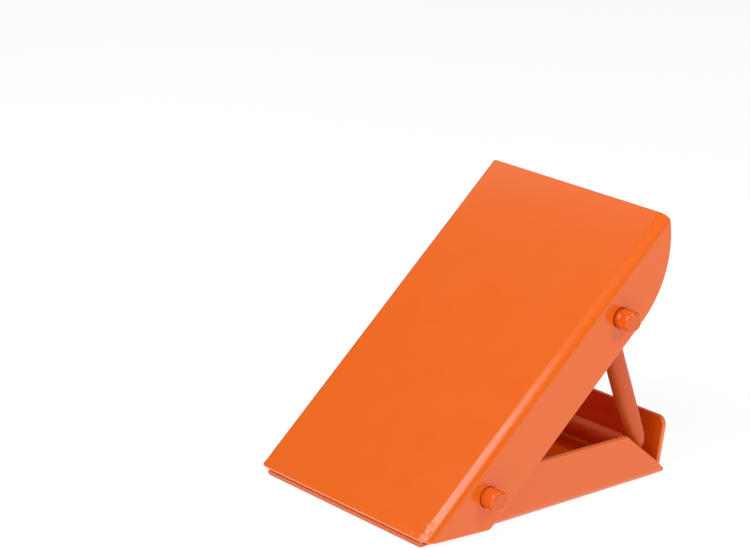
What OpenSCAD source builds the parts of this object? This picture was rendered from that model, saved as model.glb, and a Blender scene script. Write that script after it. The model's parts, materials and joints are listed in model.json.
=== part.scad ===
/* [Ramp plate] */
// Overall width across the ramp plate
ramp_w = 120; // [110:1:140]
// Length of the ramp face from toe to top
ramp_len = 183.5; // [180:0.5:188]
// Slope of the ramp face above the ground
slope = 41.2; // [41:0.1:41.4]
// Depth of the side flanges below the ramp face
ramp_depth = 27; // [25:0.5:27]
// Outside radius of the two long bends
ramp_bend_r = 5; // [4:0.5:6]
// Radius of the curved rear end of each side flange
tail_r = 48.3; // [47:0.1:52]
// Where the curve of the rear end starts, along the face
tail_along = 141.9; // [140:0.1:143]
// Gap under the toe of the ramp, above the floor of the base
toe_gap = 0.35; // [0.3:0.05:0.6]
// How far the toe stands in front of the base
toe_overhang = 0.08; // [0:0.01:0.5]
// Where the toe cut of each flange ends on its lower edge, along the face
toe_cut_along = 25.4; // [24:0.1:27]
// Corner radius at the lower end of the toe cut
toe_corner_r = 3; // [1:0.5:4]
// Plan radius of the four corners of the ramp face
face_corner_r = 3; // [1:0.5:4]

/* [Base plate] */
// Length of the base floor
base_len = 142.6; // [141:0.1:144]
// Height of the base side flanges at their front end
base_h = 25.4; // [24:0.1:25.5]
// Height of the base side flanges at the rear end of their top edge
flange_rear_h = 23.7; // [22:0.1:24]
// Outside radius of the base bends
base_bend_r = 4; // [3.5:0.5:5]
// Where the top edge of each base flange ends, from the front edge
flange_top_x = 119; // [110:0.1:120]
// Where the rear slant of each base flange ends, from the front edge
flange_slant_x = 138.9; // [136:0.1:140]
// Height left at the rear end of each base flange
flange_tail_h = 6.4; // [5:0.1:8]
// Depth of the front slant of each base flange below the ramp face
flange_front_depth = 5.5; // [5.2:0.1:8]
// Height of the rear lip
lip_h = 25.8; // [20:0.1:27]
// Backward lean of the rear lip
lip_lean = 13.9; // [10:0.1:16]
// Width of the rear lip
lip_w = 104.4; // [90:0.1:104.8]
// Radius of the top corners of the rear lip
lip_corner_r = 5; // [2:0.5:8]
// Width of the relief slot at each end of the rear lip
relief_w = 1.4; // [1:0.1:1.8]

/* [Sheet and rod] */
// Thickness of both pressed plates
sheet_t = 2.5; // [2.3:0.1:2.5]
// Gap between the nested side flanges
nest_gap = 0.6; // [0.6:0.1:1]
// Diameter of the hinge rod and of the strut rod
rod_d = 9.5; // [9:0.1:9.6]
// Radial running clearance of a rod in a ramp hole
run_clear = 0.08; // [0.05:0.01:0.1]
// Radial interference of the hinge rod in a pressed hole
press = 0.02; // [0.01:0.01:0.03]
// Rounding of the rod ends
rod_end_r = 1.5; // [0.5:0.1:2]

/* [Hinge] */
// Distance of the hinge axis from the front edge, along the face
hinge_along = 35; // [34:0.1:36]
// Depth of the hinge axis below the face
hinge_depth = 14.7; // [14.5:0.1:15.5]
// How far the hinge rod stands out of each side
hinge_out = 7.6; // [5:0.1:9]
// Outside diameter of the hinge washers
washer_d = 18; // [14:0.5:20]
// Thickness of the hinge washers
washer_t = 0.5; // [0.3:0.05:0.5]

/* [Strut] */
// Distance of the strut pivot from the front edge, along the face
pivot_along = 135.9; // [135.7:0.1:136.5]
// Depth of the strut pivot below the face
pivot_depth = 15.9; // [15.7:0.1:16]
// Length of the strut from its pivot axis to the axis of its crossbar
strut_len = 74.4; // [73.8:0.1:74.4]
// Backward lean of the strut from the vertical
strut_lean = 16.9; // [16:0.1:18]
// Centreline radius of the upper bends of the strut
strut_bend_r = 7; // [6:0.5:7.5]
// Centreline radius of the lower bends of the strut, at its crossbar
foot_bend_r = 10.5; // [6:0.5:14]
// Side clearance between the strut legs and the base flanges
leg_gap = 0.5; // [0.4:0.1:1]
// How far the strut ends stand out of each side
strut_out = 7.6; // [5:0.1:8]

/* [Hidden] */

PAINT = [0.93, 0.38, 0.12];
STEEL = [0.60, 0.60, 0.62];
ROUND = 96;
PAST = 10;
QUARTER = 90;
BEND_STEPS = 12;

rod_r = rod_d / 2;
half_w = ramp_w / 2;

// Side planes, from the outside in
ramp_in_y = half_w - sheet_t;
base_out_y = ramp_in_y - nest_gap;
base_in_y = base_out_y - sheet_t;
leg_y = base_in_y - leg_gap - rod_r;

// Front top edge of the ramp face
toe_x = -toe_overhang - sheet_t * sin(slope);
toe_z = sheet_t + toe_gap + sheet_t * cos(slope);

// A point given along the ramp face and below it, seen from the side
function on_ramp(along, depth) = [
    toe_x + along * cos(slope) + depth * sin(slope),
    toe_z + along * sin(slope) - depth * cos(slope)
];
hinge_p = on_ramp(hinge_along, hinge_depth);
pivot_p = on_ramp(pivot_along, pivot_depth);

// Bend of the rear lip, and the top of the lip, which is the rearmost point
lip_bend_x = base_len - base_bend_r;
lip_inner_r = base_bend_r - sheet_t;
lip_up = (lip_h - base_bend_r + lip_inner_r * sin(lip_lean)) / cos(lip_lean);
lip_reach = base_bend_r * cos(lip_lean) + lip_up * sin(lip_lean);
lip_top_x = lip_bend_x + lip_reach;
centre_x = (toe_x + lip_top_x) / 2;

// Front slant of the base flanges, parallel to the ramp face
flange_front_low = on_ramp(0, flange_front_depth);
slant_per_rise = 1 / tan(slope);
function front_slant_x(z) =
    flange_front_low[0] + (z - flange_front_low[1]) * slant_per_rise;

// Puts the middle of the overall length at x = 0
module centred() {
    translate([-centre_x, 0, 0]) children();
}

// Turns a side view into a slab of width w across the chock
module across(w) {
    rotate([QUARTER, 0, 0])
        linear_extrude(height = w, center = true)
            children();
}

// Moves the frame of the ramp (along, across, up from the face) into place
module place_on_ramp() {
    translate([toe_x, 0, toe_z])
        rotate([0, -slope, 0])
            children();
}

// Turns a section in the YZ plane into a bar along X
module along_x(length) {
    rotate([QUARTER, 0, QUARTER])
        linear_extrude(height = length)
            children();
}

// Block with its two lower corners rounded, standing on the X axis
module round_bottom(half, h, r) {
    translate([-half + r, 0]) square([2 * (half - r), h]);
    translate([-half, r]) square([2 * half, h - r]);
    for (side = [-1, 1])
        translate([side * (half - r), r]) circle(r = r, $fn = ROUND);
}

// Section of a bent channel, open at the top
module channel_section(half, h, r) {
    difference() {
        round_bottom(half, h, r);
        translate([0, sheet_t]) round_bottom(half - sheet_t, h, r - sheet_t);
    }
}

// Outline of the ramp face, with rounded corners, as a tall block
module face_outline() {
    r = face_corner_r;
    translate([0, 0, -ramp_depth - PAST])
        linear_extrude(height = ramp_depth + 2 * PAST)
            difference() {
                translate([0, -half_w - PAST]) square([ramp_len, ramp_w + 2 * PAST]);
                for (end = [0, 1])
                    for (side = [-1, 1])
                        translate([end * ramp_len, side * half_w])
                            difference() {
                                square(2 * r, center = true);
                                translate([(1 - 2 * end) * r, -side * r])
                                    circle(r = r, $fn = ROUND);
                            }
            }
}

// Side view of the ramp plate, in its own frame, running past the two ends of the face
module ramp_side() {
    toe_angle = atan((ramp_depth - sheet_t) / toe_cut_along);
    corner_x = toe_cut_along + toe_corner_r * tan(toe_angle / 2);
    corner_cut_h = toe_corner_r * (1 - cos(toe_angle));
    difference() {
        polygon([
            [-PAST, PAST], [-PAST, PAST * tan(toe_angle) - sheet_t],
            [toe_cut_along, -ramp_depth],
            [tail_along, -ramp_depth], [tail_along, PAST]
        ]);
        difference() {
            translate([0, -ramp_depth - PAST]) square([corner_x, corner_cut_h + PAST]);
            translate([corner_x, toe_corner_r - ramp_depth]) circle(r = toe_corner_r, $fn = ROUND);
        }
    }
    intersection() {
        translate([tail_along, tail_r - ramp_depth]) circle(r = tail_r, $fn = ROUND);
        translate([tail_along, -ramp_depth - PAST])
            square([ramp_len - tail_along + PAST, ramp_depth + 2 * PAST]);
    }
}

module ramp_plate() {
    color(PAINT) centred() difference() {
        place_on_ramp() intersection() {
            translate([-PAST, 0, 0])
                mirror([0, 0, 1])
                    along_x(ramp_len + 2 * PAST)
                        channel_section(half_w, ramp_depth + PAST, ramp_bend_r);
            across(ramp_w + PAST) ramp_side();
            face_outline();
        }
        for (p = [hinge_p, pivot_p])
            translate([p[0], 0, p[1]])
                rotate([QUARTER, 0, 0])
                    cylinder(r = rod_r + run_clear, h = ramp_w + PAST, center = true, $fn = ROUND);
    }
}

// Side view of the base plate without its lip
module base_side() {
    polygon([
        [0, 0], [0, sheet_t],
        [front_slant_x(sheet_t), sheet_t],
        [front_slant_x(base_h), base_h],
        [flange_top_x, flange_rear_h],
        [flange_slant_x, flange_tail_h],
        [base_len, sheet_t], [base_len, 0]
    ]);
}

// Points on an arc about the centre of the lip bend, from the floor up to the lean
function lip_arc(r) = [
    for (i = [0:BEND_STEPS])
        let (a = -QUARTER + i * (QUARTER - lip_lean) / BEND_STEPS)
            [r * cos(a), r * sin(a)]
];
function backward(points) = [for (i = [len(points) - 1:-1:0]) points[i]];
function lip_tip(r) = [
    r * cos(lip_lean) + lip_up * sin(lip_lean),
    lip_up * cos(lip_lean) - r * sin(lip_lean)
];

// Side view of the rear lip with its bend and a short stretch of floor
module lip_side() {
    translate([lip_bend_x, base_bend_r])
        polygon(concat(
            [[-relief_w, -base_bend_r]],
            lip_arc(base_bend_r),
            [lip_tip(base_bend_r), lip_tip(lip_inner_r)],
            backward(lip_arc(lip_inner_r)),
            [[-relief_w, -lip_inner_r]]
        ));
}

// Slot on each side of the rear lip, which frees its bend from the side flanges
module relief_slots() {
    slot_x = lip_bend_x - relief_w;
    for (side = [-1, 1])
        translate([slot_x + PAST, side * (lip_w + relief_w) / 2, 0])
            cube([2 * PAST, relief_w, 2 * (lip_h + PAST)], center = true);
}

// What is cut away to round the two top corners of the rear lip
module lip_corners() {
    r = lip_corner_r;
    for (side = [-1, 1])
        translate([lip_bend_x, side * (lip_w / 2 - r), lip_h - r])
            difference() {
                translate([0, min(side, 0) * (r + relief_w / 2), 0])
                    cube([2 * PAST, r + relief_w / 2, r + PAST]);
                rotate([0, QUARTER, 0])
                    cylinder(r = r, h = 2 * PAST, $fn = ROUND);
            }
}

module base_plate() {
    color(PAINT) centred() difference() {
        union() {
            difference() {
                intersection() {
                    translate([-PAST, 0, 0])
                        along_x(base_len + 2 * PAST)
                            channel_section(base_out_y, base_h + PAST, base_bend_r);
                    across(ramp_w) base_side();
                }
                translate([lip_bend_x - relief_w, -(lip_w + relief_w) / 2, -PAST])
                    cube([2 * PAST, lip_w + relief_w, base_h]);
            }
            across(lip_w + relief_w) lip_side();
        }
        relief_slots();
        lip_corners();
        translate([hinge_p[0], 0, hinge_p[1]])
            rotate([QUARTER, 0, 0])
                cylinder(r = rod_r - press, h = ramp_w, center = true, $fn = ROUND);
    }
}

// Half section of a rod end with a rounded rim, for turning about its axis
module rod_half_section(length) {
    square([rod_r, length - rod_end_r]);
    square([rod_r - rod_end_r, length]);
    translate([rod_r - rod_end_r, length - rod_end_r])
        intersection() {
            circle(r = rod_end_r, $fn = ROUND);
            square([rod_end_r, rod_end_r]);
        }
}

// Plain rod from the middle plane outwards, with a rounded rim at its end
module rod_stub(length) {
    rotate([-QUARTER, 0, 0])
        rotate_extrude($fn = ROUND)
            rod_half_section(length);
}

module hinge_rod() {
    color(STEEL) centred()
        translate([hinge_p[0], 0, hinge_p[1]])
            for (side = [0, 1])
                mirror([0, side, 0]) rod_stub(half_w + hinge_out);
}

// One half of the strut, hanging from its pivot axis
module strut_half() {
    straight = strut_len - strut_bend_r - foot_bend_r;
    translate([0, leg_y + strut_bend_r, 0])
        rod_stub(half_w + strut_out - leg_y - strut_bend_r);
    translate([0, leg_y + strut_bend_r, -strut_bend_r])
        rotate([0, -QUARTER, 0])
            rotate([0, 0, -QUARTER])
                rotate_extrude(angle = QUARTER, $fn = ROUND)
                    translate([strut_bend_r, 0]) circle(r = rod_r, $fn = ROUND);
    translate([0, leg_y, -strut_bend_r - straight])
        cylinder(r = rod_r, h = straight, $fn = ROUND);
    translate([0, leg_y - foot_bend_r, -strut_bend_r - straight])
        rotate([0, -QUARTER, 0])
            rotate([0, 0, QUARTER])
                rotate_extrude(angle = QUARTER, $fn = ROUND)
                    translate([foot_bend_r, 0]) circle(r = rod_r, $fn = ROUND);
    translate([0, 0, -strut_len])
        rotate([-QUARTER, 0, 0])
            cylinder(r = rod_r, h = leg_y - foot_bend_r, $fn = ROUND);
}

module strut_rod() {
    color(STEEL) centred()
        translate([pivot_p[0], 0, pivot_p[1]])
            rotate([0, -strut_lean, 0])
                for (side = [0, 1])
                    mirror([0, side, 0]) strut_half();
}

// Washer against the outer face of the base flange on one side
module hinge_washer(side) {
    color(STEEL) centred()
        translate([hinge_p[0], side * (base_out_y + washer_t / 2), hinge_p[1]])
            rotate([QUARTER, 0, 0])
                difference() {
                    cylinder(d = washer_d, h = washer_t, center = true, $fn = ROUND);
                    cylinder(r = rod_r - press, h = 2 * washer_t, center = true, $fn = ROUND);
                }
}

module hinge_washer_left() {
    hinge_washer(-1);
}

module hinge_washer_right() {
    hinge_washer(1);
}

ramp_plate();
base_plate();
strut_rod();
hinge_rod();
hinge_washer_left();
hinge_washer_right();
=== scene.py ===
"""Folding wheel chock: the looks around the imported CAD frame.

The two plates are flat blanks, cut by an outline with holes and folded by a formula.
The two rods are swept along a centreline. Sizes are in millimetres up to new_mesh().
"""

import json
import math

import bpy
import numpy as np
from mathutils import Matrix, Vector
from mathutils.geometry import delaunay_2d_cdt


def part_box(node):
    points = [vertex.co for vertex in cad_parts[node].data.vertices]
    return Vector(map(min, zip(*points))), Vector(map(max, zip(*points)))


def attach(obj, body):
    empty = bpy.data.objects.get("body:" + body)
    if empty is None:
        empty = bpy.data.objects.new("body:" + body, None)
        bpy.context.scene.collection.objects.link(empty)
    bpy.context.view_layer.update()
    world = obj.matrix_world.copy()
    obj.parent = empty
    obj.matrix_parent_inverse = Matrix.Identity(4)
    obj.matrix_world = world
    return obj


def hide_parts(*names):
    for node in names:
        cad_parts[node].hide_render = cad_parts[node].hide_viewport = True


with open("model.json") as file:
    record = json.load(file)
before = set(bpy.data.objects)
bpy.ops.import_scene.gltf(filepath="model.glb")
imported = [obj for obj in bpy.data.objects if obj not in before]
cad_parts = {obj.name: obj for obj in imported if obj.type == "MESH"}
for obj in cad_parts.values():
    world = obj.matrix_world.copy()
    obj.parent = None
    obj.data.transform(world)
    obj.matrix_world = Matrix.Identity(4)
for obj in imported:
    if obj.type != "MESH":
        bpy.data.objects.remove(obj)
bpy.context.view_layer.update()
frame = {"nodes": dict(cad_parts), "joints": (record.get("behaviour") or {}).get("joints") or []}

MM = 0.001

# ---------------------------------------------------------------- sizes, in millimetres

SHEET_T = 2.5
TOE_GAP = 0.35
LEG_GAP = 0.5
ROD_R = 4.75
ROD_ROUNDING = 1.5


def box_mm(node):
    """Lowest and highest corner of a CAD node, in millimetres."""
    low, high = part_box(node)
    return np.array(low) / MM, np.array(high) / MM


def joint_mm(name):
    """The place of a joint's axis in the side view (x, z), in millimetres."""
    joint = next(j for j in frame["joints"] if j["name"] == name)
    return np.array([joint["pos_m"][0], joint["pos_m"][2]]) / MM


ramp_low, ramp_high = box_mm("ramp_plate")
base_low, base_high = box_mm("base_plate")
_, hinge_high = box_mm("hinge_rod")
strut_low, strut_high = box_mm("strut_rod")
HINGE = joint_mm("ramp_hinge")
PIVOT = joint_mm("strut_swing")

# Ramp plate
SLOPE = math.radians(41.2)
RAMP_HALF = ramp_high[1]
RAMP_BEND_R = 5.0
RAMP_DEPTH = 27.0
RAMP_RIM_R = 0.6
# The toe's upper edge in the side view. Its lower edge is TOE_GAP above the base floor
TOE = np.array([ramp_low[0], SHEET_T + TOE_GAP + SHEET_T * math.cos(SLOPE)])
RAMP_LEN = (ramp_high[2] - TOE[1]) / math.sin(SLOPE)
# Corners of the toe in the side view: place along the face, depth below it, radius
TOE_CORNERS = ((0, 0.2, 4.2), (1.6, 3.0, 2.0), (3.0, 5.4, 0))
# The flange reaches its full depth at TOE_CUT_ALONG, and curves up again from TAIL_ALONG on
TOE_CUT_ALONG = 25.4
TOE_CUT_R = 3.0
TAIL_ALONG = 141.9
TAIL_R = 48.3
TAIL_CORNER_R = 2.0

# Press marks at the ramp's toe corners: place along the face, place across it, width
CREASES = (
    (2.4, 56.4, 1.2),
    (4.9, 58.4, 1.0),
    (4.0, 53.4, 1.6),
    (7.6, 56.6, 1.5),
    (2.2, 50.6, 1.3),
)
CREASE_DEPTH = 0.16
# The mesh is finer up to here
CREASE_REACH = 12.0

# Holes in the ramp, worn towards the toe and a little upwards by WEAR_LIFT
HOLE_SLACK = 0.1
HOLE_RIM_R = 0.3
HINGE_WEAR = 0.4
PIVOT_WEAR = 1.1
WEAR_LIFT = math.radians(20)

# Base plate
BASE_FRONT = base_low[0]
BASE_HALF = base_high[1]
BASE_BEND_R = 4.0
BASE_RIM_R = 0.8
PRESSED_HOLE_RIM_R = 0.2
BASE_LEN = 142.6
BASE_CORNER_R = 1.5
BASE_REAR_CORNER_R = 0.8
# How far the blank's front corner lies past the start of the side bend
FRONT_CORNER = 3.4
# The flange starts on a line this far below the tyre face
FLANGE_FRONT_DEPTH = 5.5
# Corners of its upper edge: heights above the ground, and places behind the front edge
FLANGE_H = 25.4
FLANGE_TOP_X = 119.0
FLANGE_REAR_H = 23.7
FLANGE_SLANT_X = 138.9
FLANGE_TAIL_H = 6.4
FLANGE_CORNER_R = 2.0

# Rear lip of the base plate, between two relief slots
LIP_BEND_X = BASE_LEN - BASE_BEND_R
LIP_LEAN = math.radians(13.9)
LIP_HALF = 52.6
LIP_ROOT_HALF = 54.0
LIP_H = base_high[2]
LIP_CORNER_R = 5.0
# Along the blank: the lip's bend, its straight part, and where it ends
LIP_TURN = math.pi / 2 - LIP_LEAN
LIP_ARC = BASE_BEND_R * LIP_TURN
LIP_RISE = (LIP_H - BASE_BEND_R + (BASE_BEND_R - SHEET_T) * math.sin(LIP_LEAN)) / math.cos(LIP_LEAN)
LIP_END = LIP_BEND_X + LIP_ARC + LIP_RISE
RELIEF_W = 1.4
RELIEF_MOUTH_R = 0.4
RELIEF_END_R = 0.3

# Strut. Its legs are LEG_Y from the middle at the foot, and STRUT_LEN long from pivot to crossbar
LEG_Y = BASE_HALF - SHEET_T - LEG_GAP - ROD_R
STRUT_BEND_R = 7.0
FOOT_BEND_R = 10.5
STRUT_LEAN = math.radians(16.9)
LEG_SPLAY = math.radians(2.7)
STRUT_LEN = (PIVOT[1] - ROD_R - strut_low[2]) / math.cos(STRUT_LEAN)

# Stake marks on the strut's ends, STAKE_OUT from the ramp: two opposite dents, each with a ridge on
# both sides. The depth is a share of the rod's radius, and angles and widths are in radians
STAKE_OUT = 2.4
STAKE_LENGTH = 1.2
STAKE_DEPTH = 0.17
DENT_ANGLE = math.radians(150)
DENT_WIDTH = 0.32
RIDGE_OFF = 0.75
RIDGE_WIDTH = 0.28
RIDGE_SHARE = 0.7

# Slight hollow of a rod's end: share of the end's radius, depth
END_HOLLOW = ((0.85, 0.0), (0.5, 0.04), (0.2, 0.12))

# Fineness of the meshes
SMALLEST_STEP = 0.02
GRID_MARGIN = 0.6
FLAT_POINTS = 12
BEND_STEPS = 12
FLANGE_POINTS = 8
CREASE_POINTS = 17
RAMP_POINTS = 60
BASE_POINTS = 48
TAIL_STEPS = 24
ROD_STEP = 2.5
HINGE_STEP = 2.0
STAKE_STEP = 0.3


# ---------------------------------------------------------------- mesh helpers


def fillet(before, corner, after, radius, steps=8):
    """Points of an arc that rounds the corner between two straight stretches."""
    a = (before - corner) / np.linalg.norm(before - corner)
    b = (after - corner) / np.linalg.norm(after - corner)
    half = math.acos(np.clip(a @ b, -1, 1)) / 2
    middle = (a + b) / np.linalg.norm(a + b)
    centre = corner + middle * radius / math.sin(half)
    start = corner + a * radius / math.tan(half) - centre
    end = corner + b * radius / math.tan(half) - centre
    turned = math.atan2(start[0] * end[1] - start[1] * end[0], start @ end)
    points = []
    for i in range(steps + 1):
        t = turned * i / steps
        c, s = math.cos(t), math.sin(t)
        points.append(centre + np.array([c * start[0] - s * start[1], s * start[0] + c * start[1]]))
    return points


def outline(corners, spacing=1.0):
    """A closed outline from corners (x, y, radius), resampled to the spacing."""
    places = [np.array(c[:2], float) for c in corners]
    count = len(places)
    loop = []
    for i, corner in enumerate(corners):
        if corner[2] > 0:
            loop += fillet(places[i - 1], places[i], places[(i + 1) % count], corner[2])
        else:
            loop.append(places[i])
    points = []
    for here, there in zip(loop, loop[1:] + loop[:1]):
        pieces = max(1, math.ceil(np.linalg.norm(there - here) / spacing))
        points += [here + (there - here) * k / pieces for k in range(pieces)]
    pairs = zip(points, points[1:] + points[:1])
    return np.array([p for p, q in pairs if np.linalg.norm(p - q) > SMALLEST_STEP])


def hole_outline(centre, radius, wear=(0.0, 0.0), count=64):
    """A hole's outline, drawn out on one side by wear. It runs the other way round from outline()."""
    angles = -2 * math.pi * np.arange(count) / count
    ways = np.stack([np.cos(angles), np.sin(angles)], 1)
    drawn = (ways @ np.array(wear) > 0)[:, None] * np.array(wear)
    return np.array(centre) + radius * ways + drawn


def inward(loop):
    """Unit vectors at the outline's points, towards the sheet."""
    along = np.roll(loop, -1, 0) - np.roll(loop, 1, 0)
    along /= np.linalg.norm(along, axis=1)[:, None]
    return np.stack([-along[:, 1], along[:, 0]], 1)


def inside(points, loop):
    """Whether each point lies inside the closed outline."""
    x, y = points[:, 0][:, None], points[:, 1][:, None]
    x0, y0 = loop[:, 0][None], loop[:, 1][None]
    x1, y1 = np.roll(loop, -1, 0).T
    x1, y1 = x1[None], y1[None]
    crosses = (y0 > y) != (y1 > y)
    rise = np.where(y1 == y0, 1e-12, y1 - y0)
    at = x0 + (y - y0) * (x1 - x0) / rise
    return (crosses & (x < at)).sum(1) % 2 == 1


def nearest(points, loop):
    """Distance from each point to the nearest point of the outline."""
    return np.sqrt(((points[:, None] - loop[None]) ** 2).sum(2).min(1))


def rim_profile(thickness, radius, steps=5):
    """A sheet's rounded edge from top to bottom: (inset, height, outward part, upward part)."""
    rings = []
    for i in range(steps + 1):
        a = math.pi / 2 * i / steps
        height = -radius * (1 - math.cos(a))
        rings.append((radius * (1 - math.sin(a)), height, math.sin(a), math.cos(a)))
    for i in range(steps + 1):
        a = math.pi / 2 * (1 - i / steps)
        height = -thickness + radius * (1 - math.cos(a))
        rings.append((radius * (1 - math.sin(a)), height, math.sin(a), -math.cos(a)))
    return rings


def blank(insets, grid_u, grid_s):
    """Points and triangles of a flat blank: an outline, its holes, and a grid between them.

    Also gives the index that each outline point has among the points.
    """
    u, s = np.meshgrid(grid_u, grid_s, indexing="ij")
    free = np.stack([u.ravel(), s.ravel()], 1)
    keep = inside(free, insets[0]) & (nearest(free, insets[0]) > GRID_MARGIN)
    for hole in insets[1:]:
        keep &= ~inside(free, hole) & (nearest(free, hole) > GRID_MARGIN)
    seeds = [Vector(p) for p in np.concatenate(insets + [free[keep]])]
    borders, start = [], 0
    for inset in insets:
        count = len(inset)
        borders += [(start + i, start + (i + 1) % count) for i in range(count)]
        start += count

    fuse = 1e-6
    places, _, triangles, origin, _, _ = delaunay_2d_cdt(seeds, borders, [], 0, fuse)
    flat = np.array([tuple(p) for p in places])
    triangles = np.array(triangles)
    middle = flat[triangles].mean(1)
    good = inside(middle, insets[0])
    for hole in insets[1:]:
        good &= ~inside(middle, hole)
    triangles = triangles[good]
    a, b, c = (flat[triangles[:, k]] for k in range(3))
    turned = (b[:, 0] - a[:, 0]) * (c[:, 1] - a[:, 1]) < (b[:, 1] - a[:, 1]) * (c[:, 0] - a[:, 0])
    triangles[turned] = triangles[turned][:, ::-1]
    new_index = {old: new for new, olds in enumerate(origin) for old in olds}
    return flat, triangles, new_index


def ways_at(fold, u, s, h):
    """The folded places, and the unit vectors along u, along s and across both there."""
    step = 1e-3
    along_u = fold(u + step, s, h) - fold(u - step, s, h)
    along_s = fold(u, s + step, h) - fold(u, s - step, h)
    along_u /= np.linalg.norm(along_u, axis=1)[:, None]
    along_s /= np.linalg.norm(along_s, axis=1)[:, None]
    up = np.cross(along_u, along_s)
    return fold(u, s, h), along_u, along_s, up / np.linalg.norm(up, axis=1)[:, None]


def folded_sheet(name, fold, loops, edges, grid_u, grid_s):
    """A bent sheet with rounded edges. loops are its outline and holes, edges their rim radii.

    fold(u, s, h) places points of the flat blank. h runs from 0 on its outer face to -SHEET_T.
    """
    insets = [loop + inward(loop) * edge for loop, edge in zip(loops, edges)]
    flat, triangles, new_index = blank(insets, grid_u, grid_s)
    count = len(flat)
    top, _, _, top_up = ways_at(fold, flat[:, 0], flat[:, 1], np.zeros(count))
    bottom, _, _, bottom_up = ways_at(fold, flat[:, 0], flat[:, 1], np.full(count, -SHEET_T))
    hand = 1.0 if (top[0] - bottom[0]) @ top_up[0] > 0 else -1.0

    verts, normals = [top, bottom], [hand * top_up, -hand * bottom_up]
    faces = [tuple(t) for t in triangles] + [tuple(t[::-1] + count) for t in triangles]
    rim = [np.zeros(2 * count)]
    total, first = 2 * count, 0
    for loop, edge in zip(loops, edges):
        points, ways = len(loop), inward(loop)
        upper = [new_index[first + i] for i in range(points)]
        rings = [upper]
        for inset, height, out, lift in rim_profile(SHEET_T, edge)[1:-1]:
            at = loop + ways * inset
            here, along_u, along_s, up = ways_at(fold, at[:, 0], at[:, 1], np.full(points, height))
            side = -(ways[:, :1] * along_u + ways[:, 1:] * along_s)
            verts.append(here)
            normals.append(out * side + lift * hand * up)
            rim.append(np.full(points, out))
            rings.append(list(range(total, total + points)))
            total += points
        rings.append([i + count for i in upper])
        for ring, below in zip(rings, rings[1:]):
            for i in range(points):
                j = (i + 1) % points
                faces.append((ring[j], ring[i], below[i], below[j]))
        first += points
    if hand < 0:
        faces = [face[::-1] for face in faces]
    return new_mesh(name, np.concatenate(verts), faces, np.concatenate(normals), np.concatenate(rim))


def new_mesh(name, verts, faces, normals, rim):
    """A smooth mesh object from points in millimetres, with an edge mask and perhaps normals."""
    mesh = bpy.data.meshes.new(name)
    mesh.from_pydata([tuple(v) for v in verts * MM], [], [[int(i) for i in f] for f in faces])
    mesh.polygons.foreach_set("use_smooth", [True] * len(mesh.polygons))
    mask = mesh.attributes.new("rim", "FLOAT", "POINT")
    mask.data.foreach_set("value", np.asarray(rim, np.float32))
    mesh.validate()
    if normals is not None:
        normals = normals / np.linalg.norm(normals, axis=1)[:, None]
        mesh.normals_split_custom_set_from_vertices([tuple(n) for n in normals])
    made = bpy.data.objects.new(name, mesh)
    bpy.context.scene.collection.objects.link(made)
    return made


def end_rings(end, outward, steps=6):
    """Places and radii of the rings over a rod's rounded rim and on to the middle of its end."""
    rings = []
    for i in range(steps + 1):
        a = math.pi / 2 * i / steps
        back = outward * ROD_ROUNDING * (1 - math.sin(a))
        rings.append((end - back, ROD_R - ROD_ROUNDING * (1 - math.cos(a))))
    face_r = ROD_R - ROD_ROUNDING
    return rings + [(end - sunk * outward, share * face_r) for share, sunk in END_HOLLOW]


def rod(name, points, side, mark=None, segments=64):
    """A round rod along a centreline that lies square to side. mark scales the radius locally."""
    ways = np.gradient(points, axis=0)
    ways /= np.linalg.norm(ways, axis=1)[:, None]
    head, tail = end_rings(points[0], -ways[0])[::-1], end_rings(points[-1], ways[-1])
    rings = [(place, ways[0], radius) for place, radius in head]
    rim_zone = ROD_ROUNDING + 0.1
    for place, way in zip(points, ways):
        from_head, from_tail = np.linalg.norm(place - points[0]), np.linalg.norm(place - points[-1])
        if min(from_head, from_tail) > rim_zone:
            rings.append((place, way, ROD_R))
    rings += [(place, ways[-1], radius) for place, radius in tail]
    angles = 2 * math.pi * np.arange(segments) / segments
    verts, faces = [], []
    for place, way, radius in rings:
        across = np.cross(way, side)
        around = np.cos(angles)[:, None] * side + np.sin(angles)[:, None] * across
        swell = 1.0 if mark is None else mark(place, around)[:, None]
        verts.append(place + around * radius * swell)
    for r in range(len(rings) - 1):
        ring, following = r * segments, (r + 1) * segments
        for i in range(segments):
            j = (i + 1) % segments
            faces.append((ring + i, ring + j, following + j, following + i))
    last = (len(rings) - 1) * segments
    faces.append(tuple(range(segments - 1, -1, -1)))
    faces.append(tuple(range(last, last + segments)))
    verts = np.concatenate(verts)
    return new_mesh(name, verts, faces, None, np.zeros(len(verts)))


# ---------------------------------------------------------------- materials


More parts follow.
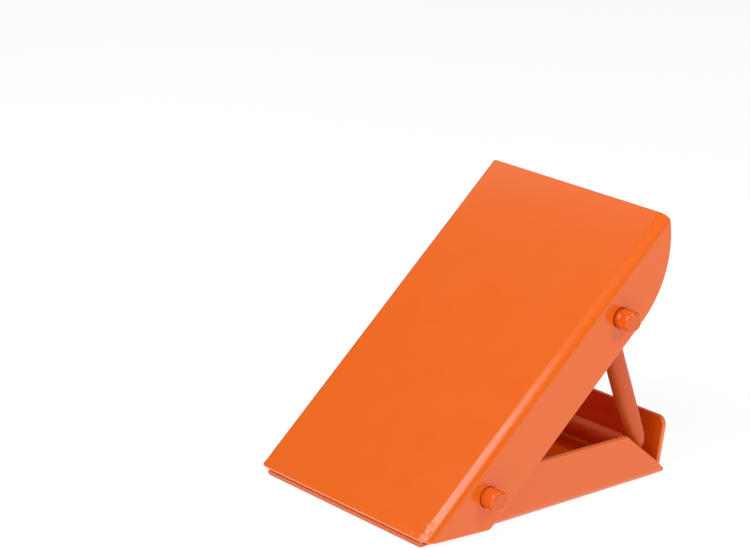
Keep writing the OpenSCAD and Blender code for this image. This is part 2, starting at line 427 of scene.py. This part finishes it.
class Nodes:
    """A short way to add shader nodes to one material."""

    def __init__(self, name):
        self.material = bpy.data.materials.new(name)
        self.material.use_nodes = True
        self.tree = self.material.node_tree
        self.shader = self.tree.nodes["Principled BSDF"]
        self.place = self.add("ShaderNodeTexCoord").outputs["Object"]

    def add(self, kind, **settings):
        """A new node. Each setting is the value of an input, or else a property of the node."""
        node = self.tree.nodes.new(kind)
        for key, value in settings.items():
            if key in node.inputs:
                node.inputs[key].default_value = value
            else:
                setattr(node, key, value)
        return node

    def link(self, out, into):
        self.tree.links.new(out, into)

    def noise(self, size_mm, detail):
        """Soft noise from 0 to 1, in patches of about size_mm."""
        node = self.add("ShaderNodeTexNoise", Scale=1000.0 / size_mm, Detail=detail, Roughness=0.5)
        self.link(self.place, node.inputs["Vector"])
        return node.outputs["Fac"]

    def spread(self, value, low, high, to_low, to_high):
        """The value carried from low and high over to to_low and to_high, and held beyond them."""
        node = self.add("ShaderNodeMapRange")
        node.inputs["From Min"].default_value = low
        node.inputs["From Max"].default_value = high
        node.inputs["To Min"].default_value = to_low
        node.inputs["To Max"].default_value = to_high
        self.link(value, node.inputs["Value"])
        return node.outputs["Result"]

    def mix(self, share, one, two):
        """A colour between one and two. Inputs 0, 6 and 7 are the share and the two colours."""
        node = self.add("ShaderNodeMix", data_type="RGBA")
        for key, value in ((0, share), (6, one), (7, two)):
            if isinstance(value, bpy.types.NodeSocket):
                self.link(value, node.inputs[key])
            else:
                node.inputs[key].default_value = value
        return node.outputs[2]

    def maths(self, operation, one, two=None):
        """The result of one or two values."""
        node = self.add("ShaderNodeMath", operation=operation)
        self.link(one, node.inputs[0])
        if two is not None:
            self.link(two, node.inputs[1])
        return node.outputs["Value"]

    def bump(self, height, depth_mm, under=None):
        """A normal that shows height as relief of depth_mm, on top of the one under it."""
        node = self.add("ShaderNodeBump", Strength=1.0, Distance=depth_mm * MM)
        self.link(height, node.inputs["Height"])
        if under is not None:
            self.link(under, node.inputs["Normal"])
        return node.outputs["Normal"]


# Colours
ORANGE = (0.91, 0.146, 0.005, 1)
DEEP_ORANGE = (0.89, 0.138, 0.005, 1)
ROD_ORANGE = (0.86, 0.132, 0.008, 1)
DEEP_ROD_ORANGE = (0.80, 0.118, 0.008, 1)
# Paler paint on the sheets' edges: partly thinner paint, partly a painted highlight along the edges
EDGE_PAINT_AND_HIGHLIGHT = (0.96, 0.25, 0.07, 1)
# Painted shade just above the ground, standing for the contact shadow
GROUND_SHADE_PAINT = (0.55, 0.07, 0.01, 1)
# Painted shade on the rods between the ramp's flanges, under the ramp
INSIDE_SHADE_PAINT = (0.70, 0.10, 0.012, 1)
DULL_STEEL = (0.42, 0.41, 0.40, 1)
CLEAN_STEEL = (0.56, 0.55, 0.54, 1)

# Sizes of the paint's patterns, in millimetres, and depths of the ones in relief
COLOUR_DRIFT = 60
GLOSS_DRIFT = 18
WAVE, WAVE_DEPTH = 24, 0.10
PEEL, PEEL_DEPTH = 2.7, 0.016
GRAIN, GRAIN_DEPTH = 0.8, 0.004

# Gloss, and the most that the edge paint (partly a painted highlight), the painted shade near the
# ground and the painted shade between the flanges cover the orange; dust also dulls the rods there
GLOSSIEST, DULLEST = 0.14, 0.30
SHEET_COAT, ROD_COAT = 0.3, 0.0
COAT_ROUGHNESS = 0.10
EDGE_PAINT_AND_HIGHLIGHT_SHARE = 0.6
GROUND_SHADE_SHARE = 0.75
INSIDE_SHADE_SHARE, DUST_ROUGHNESS = 0.8, 0.25

# The painted shade near the ground, standing for the contact shadow, is full up to the first height
# above the ground, and gone at the second
GROUND_SHADE_FULL_H, GROUND_SHADE_H = 1.3, 2.3

# Patterns, in millimetres, and gloss of the washers' bare steel
STEEL_PATCH, STEEL_SHEEN = 5, 1.5
STEEL_GRAIN, STEEL_GRAIN_DEPTH = 0.4, 0.01
STEEL_GLOSSIEST, STEEL_DULLEST = 0.3, 0.5


def orange_paint(name, base, deep, coat, ground_shaded=False, inside_shade_and_dust=False):
    """Glossy enamel on steel, with slow colour drift, soft waves, orange peel and paler edges, which
    are partly thinner paint and partly a painted highlight.

    grimy paints shade just above the ground, standing for the contact shadow there; sheltered paints
    the rods darker between the ramp's flanges, standing for the shade under the ramp, and also makes
    them duller there, as dust does.
    """
    n = Nodes(name)
    colour = n.mix(n.noise(COLOUR_DRIFT, 1), base, deep)
    rim = n.add("ShaderNodeAttribute", attribute_name="rim").outputs["Fac"]
    # Paler edges: partly thinner paint, partly a painted highlight along them
    colour = n.mix(n.spread(rim, 0.2, 1.0, 0.0, EDGE_PAINT_AND_HIGHLIGHT_SHARE), colour, EDGE_PAINT_AND_HIGHLIGHT)
    roughness = n.spread(n.noise(GLOSS_DRIFT, 1), 0.0, 1.0, GLOSSIEST, DULLEST)
    place = n.add("ShaderNodeSeparateXYZ")
    n.link(n.place, place.inputs["Vector"])
    # Painted shade just above the ground, standing for the contact shadow
    if ground_shaded:
        low = n.spread(place.outputs["Z"], GROUND_SHADE_FULL_H * MM, GROUND_SHADE_H * MM, GROUND_SHADE_SHARE, 0.0)
        colour = n.mix(low, colour, GROUND_SHADE_PAINT)
    # Between the ramp's flanges: painted shade under the ramp in the colour, and dust in the extra
    # roughness
    if inside_shade_and_dust:
        across = n.maths("ABSOLUTE", place.outputs["Y"])
        dust_and_shade = n.spread(across, (RAMP_HALF - SHEET_T) * MM, RAMP_HALF * MM, 1.0, 0.0)
        colour = n.mix(n.spread(dust_and_shade, 0.0, 1.0, 0.0, INSIDE_SHADE_SHARE), colour, INSIDE_SHADE_PAINT)
        roughness = n.maths("ADD", roughness, n.spread(dust_and_shade, 0.0, 1.0, 0.0, DUST_ROUGHNESS))
    n.link(colour, n.shader.inputs["Base Color"])
    n.link(roughness, n.shader.inputs["Roughness"])
    waves = n.bump(n.noise(WAVE, 1), WAVE_DEPTH)
    peel = n.bump(n.noise(PEEL, 1), PEEL_DEPTH, waves)
    n.link(n.bump(n.noise(GRAIN, 1), GRAIN_DEPTH, peel), n.shader.inputs["Normal"])
    n.shader.inputs["IOR"].default_value = 1.5
    n.shader.inputs["Coat Weight"].default_value = coat
    n.shader.inputs["Coat Roughness"].default_value = COAT_ROUGHNESS
    return n.material


def bare_steel(name):
    """Plain steel with dull patches and a fine grain."""
    n = Nodes(name)
    patches = n.spread(n.noise(STEEL_PATCH, 3), 0.3, 0.7, 0.0, 1.0)
    n.link(n.mix(patches, DULL_STEEL, CLEAN_STEEL), n.shader.inputs["Base Color"])
    roughness = n.spread(n.noise(STEEL_SHEEN, 3), 0.3, 0.7, STEEL_GLOSSIEST, STEEL_DULLEST)
    n.link(roughness, n.shader.inputs["Roughness"])
    n.link(n.bump(n.noise(STEEL_GRAIN, 2), STEEL_GRAIN_DEPTH), n.shader.inputs["Normal"])
    n.shader.inputs["Metallic"].default_value = 1.0
    return n.material


RAMP_PAINT = orange_paint("ramp_paint", ORANGE, DEEP_ORANGE, SHEET_COAT)
# The base gets painted shade just above the ground
BASE_PAINT = orange_paint("base_paint", ORANGE, DEEP_ORANGE, SHEET_COAT, ground_shaded=True)
# The rods get painted shade between the ramp's flanges, and dust there dulls them
ROD_PAINT = orange_paint("rod_paint", ROD_ORANGE, DEEP_ROD_ORANGE, ROD_COAT, inside_shade_and_dust=True)
WASHER_STEEL = bare_steel("washer_steel")


def dress(piece, material):
    """Gives a piece its only material."""
    piece.data.materials.clear()
    piece.data.materials.append(material)


# ---------------------------------------------------------------- channels, for both plates


def bent_channel(s, h, half, radius):
    """Side place and drop of a channel's section: s from the middle line, h above its outer face."""
    flat = half - radius
    reach = np.abs(s) - flat
    angle = np.clip(reach / radius, 0, math.pi / 2)
    beyond = np.maximum(reach - radius * math.pi / 2, 0)
    y = np.minimum(np.abs(s), flat) + (radius + h) * np.sin(angle)
    drop = radius - (radius + h) * np.cos(angle) + beyond
    return np.sign(s) * y, drop


def s_at(depth, half, radius):
    """How far along the section a depth below the outer face is reached."""
    if depth >= radius:
        return half - radius + radius * math.pi / 2 + depth - radius
    return half - radius + radius * math.acos(1 - depth / radius)


def section_lines(half, radius, depth):
    """Grid lines across a channel's blank: wide on the flats, close on the bends."""
    flat, arc = half - radius, radius * math.pi / 2
    one = list(np.linspace(0, flat, FLAT_POINTS))
    one += list(flat + arc * np.arange(1, BEND_STEPS + 1) / BEND_STEPS)
    one += list(np.linspace(flat + arc, flat + arc + depth - radius, FLANGE_POINTS)[1:])
    return np.array([-x for x in one[:0:-1]] + one)


def mirrored(half_outline):
    """A closed outline from its half at positive s, given from the front to the rear."""
    return half_outline + [(u, -s, r) for u, s, r in reversed(half_outline)]


# ---------------------------------------------------------------- ramp plate


def creases(u, s):
    """Depth of the press marks, where the bends run out at the toe corners."""
    sunk = np.zeros(len(u))
    for along, across, width in CREASES:
        away = (u - along) ** 2 + (np.abs(s) - across) ** 2
        sunk += CREASE_DEPTH * np.exp(-away / width**2)
    return sunk


def ramp_fold(u, s, h):
    """The blank's outer face is the tyre face; u runs up it from the toe."""
    y, drop = bent_channel(s, h - creases(u, s), RAMP_HALF, RAMP_BEND_R)
    x = TOE[0] + u * math.cos(SLOPE) + drop * math.sin(SLOPE)
    z = TOE[1] + u * math.sin(SLOPE) - drop * math.cos(SLOPE)
    return np.stack([x, y, z], 1)


def on_ramp(place):
    """(along, depth) of a side-view place in the frame of the ramp."""
    dx, dz = place - TOE
    return dx * math.cos(SLOPE) + dz * math.sin(SLOPE), dx * math.sin(SLOPE) - dz * math.cos(SLOPE)


def ramp_outline():
    """Toe corners, the long flange, and its round tail up to the rear edge."""

    def at(depth):
        return s_at(depth, RAMP_HALF, RAMP_BEND_R)

    def tail_depth(along):
        return math.sqrt(TAIL_R**2 - along**2) - TAIL_R + RAMP_DEPTH

    half = [(along, at(depth), radius) for along, depth, radius in TOE_CORNERS]
    half.append((TOE_CUT_ALONG, at(RAMP_DEPTH), TOE_CUT_R))
    last = RAMP_LEN - TAIL_ALONG
    for i in range(TAIL_STEPS):
        along = last * math.sin(math.pi / 2 * i / TAIL_STEPS)
        half.append((TAIL_ALONG + along, at(tail_depth(along)), 0))
    room_for_corner = 1.2
    while RAMP_LEN - half[-1][0] < room_for_corner:
        half.pop()
    half.append((RAMP_LEN, at(tail_depth(last)), TAIL_CORNER_R))
    return outline(mirrored(half)[::-1])


def ramp_skin():
    """The ramp plate with its four worn holes."""
    loops, edges = [ramp_outline()], [RAMP_RIM_R]
    for place, wear in ((HINGE, HINGE_WEAR), (PIVOT, PIVOT_WEAR)):
        along, depth = on_ramp(place)
        back = wear * math.cos(SLOPE + WEAR_LIFT)
        up = wear * math.sin(SLOPE + WEAR_LIFT)
        for side in (-1, 1):
            centre = (along, side * s_at(depth, RAMP_HALF, RAMP_BEND_R))
            loops.append(hole_outline(centre, ROD_R + HOLE_SLACK, (-back, -up * side)))
            edges.append(HOLE_RIM_R)
    toe_lines = np.linspace(0, CREASE_REACH, CREASE_POINTS)[:-1]
    grid_u = np.concatenate([toe_lines, np.linspace(CREASE_REACH, RAMP_LEN, RAMP_POINTS)])
    grid_s = section_lines(RAMP_HALF, RAMP_BEND_R, RAMP_DEPTH)
    return folded_sheet("ramp_skin", ramp_fold, loops, edges, grid_u, grid_s)


# ---------------------------------------------------------------- base plate


def base_fold(u, s, h):
    """The blank's outer face is the underside; u runs back from the front edge, and up the lip."""
    on_lip = (u > LIP_BEND_X) & (np.abs(s) < LIP_ROOT_HALF + RELIEF_W / 2)
    y, rise = bent_channel(s, h, BASE_HALF, BASE_BEND_R)
    angle = np.clip((u - LIP_BEND_X) / BASE_BEND_R, 0, LIP_TURN)
    beyond = np.maximum(u - LIP_BEND_X - LIP_ARC, 0)
    lip_x = LIP_BEND_X + (BASE_BEND_R + h) * np.sin(angle) + beyond * math.sin(LIP_LEAN)
    lip_z = BASE_BEND_R - (BASE_BEND_R + h) * np.cos(angle) + beyond * math.cos(LIP_LEAN)
    x = np.where(on_lip, lip_x, u)
    z = np.where(on_lip, lip_z, rise)
    return np.stack([BASE_FRONT + x, np.where(on_lip, s, y), z], 1)


def base_outline():
    """Front edge, the flange that starts parallel to the ramp, the rear corner, and the lip."""

    def at(height):
        return s_at(height, BASE_HALF, BASE_BEND_R)

    def slant_x(height):
        low = TOE + np.array([math.sin(SLOPE), -math.cos(SLOPE)]) * FLANGE_FRONT_DEPTH
        return low[0] - BASE_FRONT + (height - low[1]) / math.tan(SLOPE)

    slot_in = LIP_ROOT_HALF + RELIEF_W
    half = [
        (0, BASE_HALF - BASE_BEND_R + FRONT_CORNER, BASE_CORNER_R),
        (slant_x(SHEET_T), at(SHEET_T), BASE_CORNER_R),
        (slant_x(FLANGE_H), at(FLANGE_H), FLANGE_CORNER_R),
        (FLANGE_TOP_X, at(FLANGE_REAR_H), FLANGE_CORNER_R),
        (FLANGE_SLANT_X, at(FLANGE_TAIL_H), FLANGE_CORNER_R),
        (BASE_LEN, at(SHEET_T), BASE_REAR_CORNER_R),
        (BASE_LEN, slot_in, RELIEF_MOUTH_R),
        (LIP_BEND_X - RELIEF_W, slot_in, RELIEF_END_R),
        (LIP_BEND_X - RELIEF_W, LIP_ROOT_HALF, RELIEF_END_R),
        (LIP_END, LIP_HALF, LIP_CORNER_R),
    ]
    return outline(mirrored(half)[::-1])


def base_skin():
    """The base plate with its lip and the two holes that hold the hinge rod."""
    along = HINGE[0] - BASE_FRONT
    loops, edges = [base_outline()], [BASE_RIM_R]
    for side in (-1, 1):
        centre = (along, side * s_at(HINGE[1], BASE_HALF, BASE_BEND_R))
        loops.append(hole_outline(centre, ROD_R))
        edges.append(PRESSED_HOLE_RIM_R)
    floor_lines = np.linspace(0, LIP_BEND_X, BASE_POINTS)[:-1]
    bend_lines = LIP_BEND_X + LIP_ARC * np.arange(BEND_STEPS + 1) / BEND_STEPS
    lip_lines = np.linspace(LIP_BEND_X + LIP_ARC, LIP_END, FLANGE_POINTS)[1:]
    grid_u = np.concatenate([floor_lines, bend_lines, lip_lines])
    grid_s = section_lines(BASE_HALF, BASE_BEND_R, FLANGE_H)
    return folded_sheet("base_skin", base_fold, loops, edges, grid_u, grid_s)


# ---------------------------------------------------------------- rods


def stretch(start, end, spacing):
    """Points from start up to, but not at, end."""
    start, end = np.array(start, float), np.array(end, float)
    count = max(1, round(float(np.linalg.norm(end - start)) / spacing))
    return [start + (end - start) * i / count for i in range(count)]


def turn(centre, radius, start, end, steps=14):
    """Points of an arc between two angles, without its last point."""
    angles = [start + (end - start) * i / steps for i in range(steps)]
    return [centre + radius * np.array([math.cos(a), math.sin(a)]) for a in angles]


def hinge_bar():
    """The straight hinge rod."""
    reach = hinge_high[1]
    across = stretch([-reach], [reach], HINGE_STEP) + [np.array([reach])]
    points = np.array([[HINGE[0], y[0], HINGE[1]] for y in across])
    return rod("hinge_bar", points, np.array([1.0, 0, 0]))


def strut_half():
    """Centreline of half the strut in its plane (across, down), from crossbar to pivot end."""
    out = np.array([math.cos(LEG_SPLAY), -math.sin(LEG_SPLAY)])
    low = np.array([LEG_Y - FOOT_BEND_R * math.cos(LEG_SPLAY), STRUT_LEN - FOOT_BEND_R])
    foot = low + FOOT_BEND_R * out
    knee_down = STRUT_BEND_R * (1 + math.sin(LEG_SPLAY))
    knee = np.array([LEG_Y - (foot[1] - knee_down) * math.tan(LEG_SPLAY), knee_down])
    high = knee + STRUT_BEND_R * out
    points = stretch((0, STRUT_LEN), (low[0], STRUT_LEN), ROD_STEP)
    points += turn(low, FOOT_BEND_R, math.pi / 2, -LEG_SPLAY)
    points += stretch(foot, knee, ROD_STEP)
    points += turn(high, STRUT_BEND_R, math.pi - LEG_SPLAY, 3 * math.pi / 2)
    points += stretch((high[0], 0), (strut_high[1], 0), STAKE_STEP)
    return np.array(points + [np.array([strut_high[1], 0])])


def stake(place, around):
    """How the stake marks, just outside the ramp, scale the strut's radius."""
    near = math.exp(-(((abs(place[1]) - RAMP_HALF - STAKE_OUT) / STAKE_LENGTH) ** 2))
    angle = np.arctan2(around[:, 2], around[:, 0]) - DENT_ANGLE
    off = np.abs((angle + math.pi / 2) % math.pi - math.pi / 2)
    dent = np.exp(-((off / DENT_WIDTH) ** 2))
    ridge = np.exp(-(((off - RIDGE_OFF) / RIDGE_WIDTH) ** 2))
    return 1 + STAKE_DEPTH * near * (RIDGE_SHARE * ridge - dent)


def strut_bar():
    """The strut: a bent rod that leans back from the pivot and ends just above the base floor."""
    half = strut_half()
    flat = np.concatenate([(half * [-1, 1])[:0:-1], half])
    down = np.array([math.sin(STRUT_LEAN), 0, -math.cos(STRUT_LEAN)])
    side = np.array([math.cos(STRUT_LEAN), 0, math.sin(STRUT_LEAN)])
    across = np.array([0.0, 1.0, 0.0])
    points = np.array([PIVOT[0], 0, PIVOT[1]]) + flat[:, :1] * across + flat[:, 1:] * down
    return rod("strut_bar", points, side, stake)


# ---------------------------------------------------------------- the pieces on their bodies

# What makes the piece, its body, the CAD node it stands for, the name of its slot, its material
PIECES = (
    (ramp_skin, "ramp", "ramp_plate", "ramp_paint", RAMP_PAINT),
    (base_skin, "base", "base_plate", "base_paint", BASE_PAINT),
    (hinge_bar, "base", "hinge_rod", "hinge_paint", ROD_PAINT),
    (strut_bar, "strut", "strut_rod", "strut_paint", ROD_PAINT),
)
for make, body, node, slot_name, material in PIECES:
    piece = make()
    dress(piece, material)
    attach(piece, body)
    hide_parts(node)

for node in ("hinge_washer_left", "hinge_washer_right"):
    dress(frame["nodes"][node], WASHER_STEEL)


# ---------------------------------------------------------------- camera, in metres

CAMERA_AT = (-0.8053, -0.9445, 0.4908)
CAMERA_AZIMUTH = math.radians(-38.49)
CAMERA_ELEVATION = math.radians(17.70)
CAMERA_LENS = 139.68

scene = bpy.context.scene
scene.view_settings.view_transform = "Standard"
camera = bpy.data.objects.new("camera", bpy.data.cameras.new("camera"))
camera.data.lens = CAMERA_LENS
camera.data.sensor_width = 36.0
camera.data.dof.use_dof = False
camera.data.clip_start = 0.01
camera.data.clip_end = 100.0
camera.location = CAMERA_AT
camera.rotation_euler = (math.pi / 2 - CAMERA_ELEVATION, 0, CAMERA_AZIMUTH)
scene.collection.objects.link(camera)
scene.camera = camera


# ---------------------------------------------------------------- floor and light, in metres

FLOOR_REACH = 20.0
FLOOR_MOTTLE_MM = 300
FLOOR_GREY = (0.21, 0.21, 0.21, 1)
FLOOR_PALE_GREY = (0.24, 0.24, 0.24, 1)
FLOOR_ROUGHNESS = 0.9
FLOOR_GLOW = 0.87
WHITE = (1, 1, 1, 1)
SKY = 0.15
BACKDROP = 0.95

# Soft lights: name, place, the point each one faces, width and height, radiance
CHOCK = (0, 0, 0.05)
PANELS = (
    ("overhead", (-0.485, -0.2, 0.8), (-0.03, -0.2, 0.05), (1.6, 0.165), 4.9),
    ("left", (-1.3, -0.1, 0.95), CHOCK, (1.2, 1.0), 2.5),
    ("front", (0.4, -0.95, 0.85), CHOCK, (0.4, 0.4), 9.5),
    ("rear", (0.12, 0.72, 0.765), (0.05, 0.05, 0.1), (0.5, 0.5), 0.9),
)


def make_floor():
    """A wide pale floor that gives off light, so that it comes out as white as a backdrop."""
    mesh = bpy.data.meshes.new("floor")
    ways = ((-1, -1), (1, -1), (1, 1), (-1, 1))
    mesh.from_pydata([(x * FLOOR_REACH, y * FLOOR_REACH, 0) for x, y in ways], [], [(0, 1, 2, 3)])
    floor = bpy.data.objects.new("floor", mesh)
    scene.collection.objects.link(floor)
    n = Nodes("pale_floor")
    grey = n.mix(n.noise(FLOOR_MOTTLE_MM, 2), FLOOR_GREY, FLOOR_PALE_GREY)
    n.link(grey, n.shader.inputs["Base Color"])
    n.shader.inputs["Roughness"].default_value = FLOOR_ROUGHNESS
    n.shader.inputs["Emission Color"].default_value = WHITE
    n.shader.inputs["Emission Strength"].default_value = FLOOR_GLOW
    dress(floor, n.material)


def make_world():
    """A dim white sky that looks pale where the camera sees it."""
    world = bpy.data.worlds.new("world")
    world.use_nodes = True
    tree = world.node_tree
    background = tree.nodes["Background"]
    background.inputs["Color"].default_value = WHITE
    seen = tree.nodes.new("ShaderNodeLightPath").outputs["Is Camera Ray"]
    strength = tree.nodes.new("ShaderNodeMath")
    strength.operation = "MULTIPLY_ADD"
    strength.inputs[1].default_value = BACKDROP - SKY
    strength.inputs[2].default_value = SKY
    tree.links.new(seen, strength.inputs[0])
    tree.links.new(strength.outputs["Value"], background.inputs["Strength"])
    scene.world = world


def soft_panel(name, place, aim, size, radiance):
    """A rectangular soft light at place, turned to aim, equally bright all over."""
    data = bpy.data.lights.new(name, "AREA")
    data.shape = "RECTANGLE"
    data.size, data.size_y = size
    data.energy = radiance * math.pi * size[0] * size[1]
    lamp = bpy.data.objects.new(name, data)
    lamp.location = place
    lamp.rotation_euler = (Vector(aim) - Vector(place)).to_track_quat("-Z", "Y").to_euler()
    scene.collection.objects.link(lamp)


make_floor()
make_world()
for panel in PANELS:
    soft_panel(*panel)
